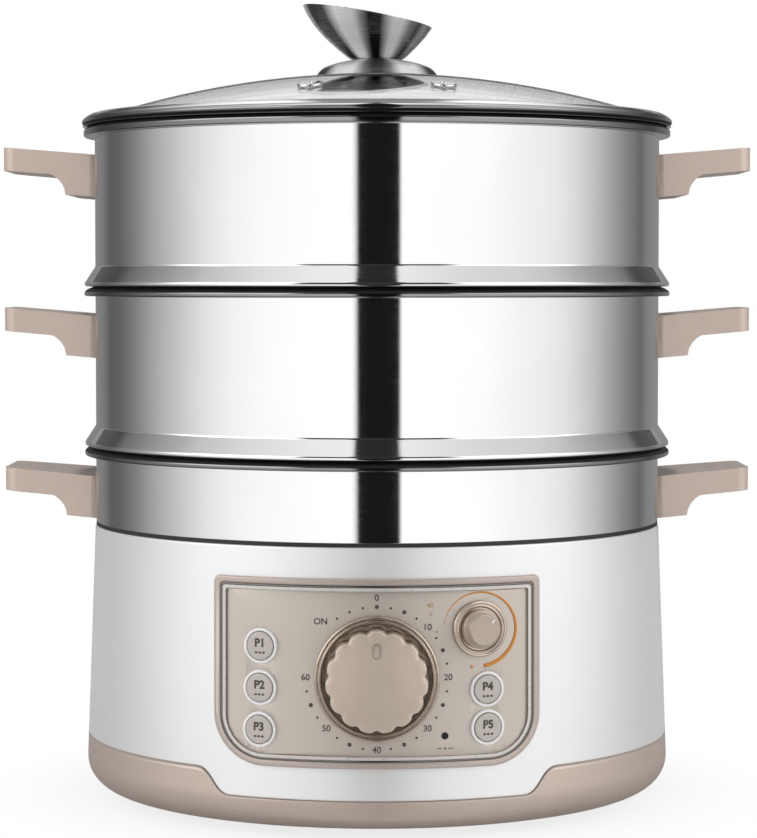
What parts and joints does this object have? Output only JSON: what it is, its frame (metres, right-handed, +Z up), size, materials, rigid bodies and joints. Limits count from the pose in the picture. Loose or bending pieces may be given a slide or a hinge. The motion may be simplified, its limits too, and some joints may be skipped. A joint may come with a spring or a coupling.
{
  "type": "electric food steamer",
  "caption": "Electric food steamer: heated base with timer, heat knob and preset buttons, stacked steel tiers with side handles, and a domed glass lid.",
  "frame": {"origin": "on the vertical axis of the round body, at the level of the feet", "axes": "+Z up, front with the control panel towards -Y, +X to the right seen from the front"},
  "size_m": [0.3666, 0.3128, 0.3912],
  "materials": {
    "polished_steel": "mirror polished stainless sheet, with the soft ring marks of spinning near the rims",
    "inner_steel": "satin stainless",
    "white_housing": "glossy injection moulded white",
    "taupe_plastic": "satin metallic taupe paint on moulded plastic",
    "panel_taupe": "satin metallic taupe, fine grain",
    "chrome_trim": "bright chrome plating",
    "dark_seal": "matte silicone rubber",
    "foot_rubber": "matte rubber",
    "clear_glass": "clear tempered glass",
    "knob_insert": "fine grained black bakelite",
    "knob_taupe": "satin metallic taupe with a bright brushed face",
    "button_face": "satin metallic taupe",
    "button_ring": "glossy white",
    "lamp_lens": "smoked lens",
    "lamp_body": "translucent red",
    "inner_plastic": "moulded, unpainted",
    "board_green": "circuit board",
    "zinc_steel": "zinc plated",
    "cast_aluminium": "as cast",
    "brass_pins": "plain",
    "inlet_black": "moulded black"
  },
  "bodies": {
    "base": {"water_pot": "polished_steel", "pot_handle_left": "taupe_plastic", "pot_handle_right": "taupe_plastic", "pot_handle_screws": "inner_steel", "pot_seal": "dark_seal", "base_housing": "white_housing", "base_skirt": "taupe_plastic", "bottom_cover": "inner_plastic", "feet": "foot_rubber", "cover_screws": "zinc_steel", "panel_frame": "taupe_plastic", "panel_trim": "chrome_trim", "panel_plate": "panel_taupe", "timer_dial_ring": "panel_taupe", "timer_body": "zinc_steel", "heat_knob_ring": "panel_taupe", "heat_switch_body": "inner_plastic", "button_rings": "button_ring", "button_boards": "board_green", "indicator_lens": "lamp_lens", "indicator_lamp": "lamp_body", "heating_plate": "cast_aluminium", "heating_tube": "zinc_steel", "thermostat": "inner_plastic", "thermal_fuse": "zinc_steel", "inlet_housing": "inlet_black", "inlet_pins": "brass_pins"},
    "lower_tier": {"lower_tier_shell": "polished_steel", "lower_handle_left": "taupe_plastic", "lower_handle_right": "taupe_plastic", "lower_handle_screws": "inner_steel"},
    "lower_plate": {"lower_steam_plate": "inner_steel"},
    "upper_tier": {"upper_tier_shell": "polished_steel", "upper_handle_left": "taupe_plastic", "upper_handle_right": "taupe_plastic", "upper_handle_screws": "inner_steel"},
    "upper_plate": {"upper_steam_plate": "inner_steel"},
    "lid": {"lid_glass": "clear_glass", "lid_rim": "polished_steel", "vent_grommets": "polished_steel", "knob_skirt": "polished_steel", "knob_bowl": "polished_steel", "knob_core": "knob_insert", "knob_washer": "inner_steel", "knob_screw": "zinc_steel"},
    "timer_knob": {"timer_knob": "knob_taupe", "timer_shaft": "zinc_steel"},
    "heat_knob": {"heat_knob": "knob_taupe", "heat_shaft": "zinc_steel"},
    "preset_button_1": {"preset_button_1": "button_face"},
    "preset_button_2": {"preset_button_2": "button_face"},
    "preset_button_3": {"preset_button_3": "button_face"},
    "preset_button_4": {"preset_button_4": "button_face"},
    "preset_button_5": {"preset_button_5": "button_face"}
  },
  "joints": [
    {"name": "lower_tier_lift", "type": "slide", "parent": "base", "child": "lower_tier", "axis": [0, 0, 1], "range_m": [0, 0.12]},
    {"name": "lower_plate_lift", "type": "slide", "parent": "lower_tier", "child": "lower_plate", "axis": [0, 0, 1], "range_m": [0, 0.06]},
    {"name": "upper_tier_lift", "type": "slide", "parent": "lower_tier", "child": "upper_tier", "axis": [0, 0, 1], "range_m": [0, 0.12]},
    {"name": "upper_plate_lift", "type": "slide", "parent": "upper_tier", "child": "upper_plate", "axis": [0, 0, 1], "range_m": [0, 0.06]},
    {"name": "lid_lift", "type": "slide", "parent": "upper_tier", "child": "lid", "axis": [0, 0, 1], "range_m": [0, 0.15]},
    {"name": "timer_turn", "type": "hinge", "parent": "base", "child": "timer_knob", "pos_m": [0, -0.14384, 0.0749], "axis": [0, 1, 0], "range_deg": [-45, 270]},
    {"name": "heat_turn", "type": "hinge", "parent": "base", "child": "heat_knob", "pos_m": [0.04656, -0.13523, 0.0965], "axis": [-0.3256, 0.9455, 0], "range_deg": [-132, 140]},
    {"name": "preset_button_1_press", "type": "slide", "parent": "base", "child": "preset_button_1", "axis": [0.3681, 0.9298, 0], "range_m": [0, 0.0015], "stiffness_N_per_m": 400},
    {"name": "preset_button_2_press", "type": "slide", "parent": "base", "child": "preset_button_2", "axis": [0.3681, 0.9298, 0], "range_m": [0, 0.0015], "stiffness_N_per_m": 400},
    {"name": "preset_button_3_press", "type": "slide", "parent": "base", "child": "preset_button_3", "axis": [0.3681, 0.9298, 0], "range_m": [0, 0.0015], "stiffness_N_per_m": 400},
    {"name": "preset_button_4_press", "type": "slide", "parent": "base", "child": "preset_button_4", "axis": [-0.3469, 0.9379, 0], "range_m": [0, 0.0015], "stiffness_N_per_m": 400},
    {"name": "preset_button_5_press", "type": "slide", "parent": "base", "child": "preset_button_5", "axis": [-0.3469, 0.9379, 0], "range_m": [0, 0.0015], "stiffness_N_per_m": 400}
  ]
}
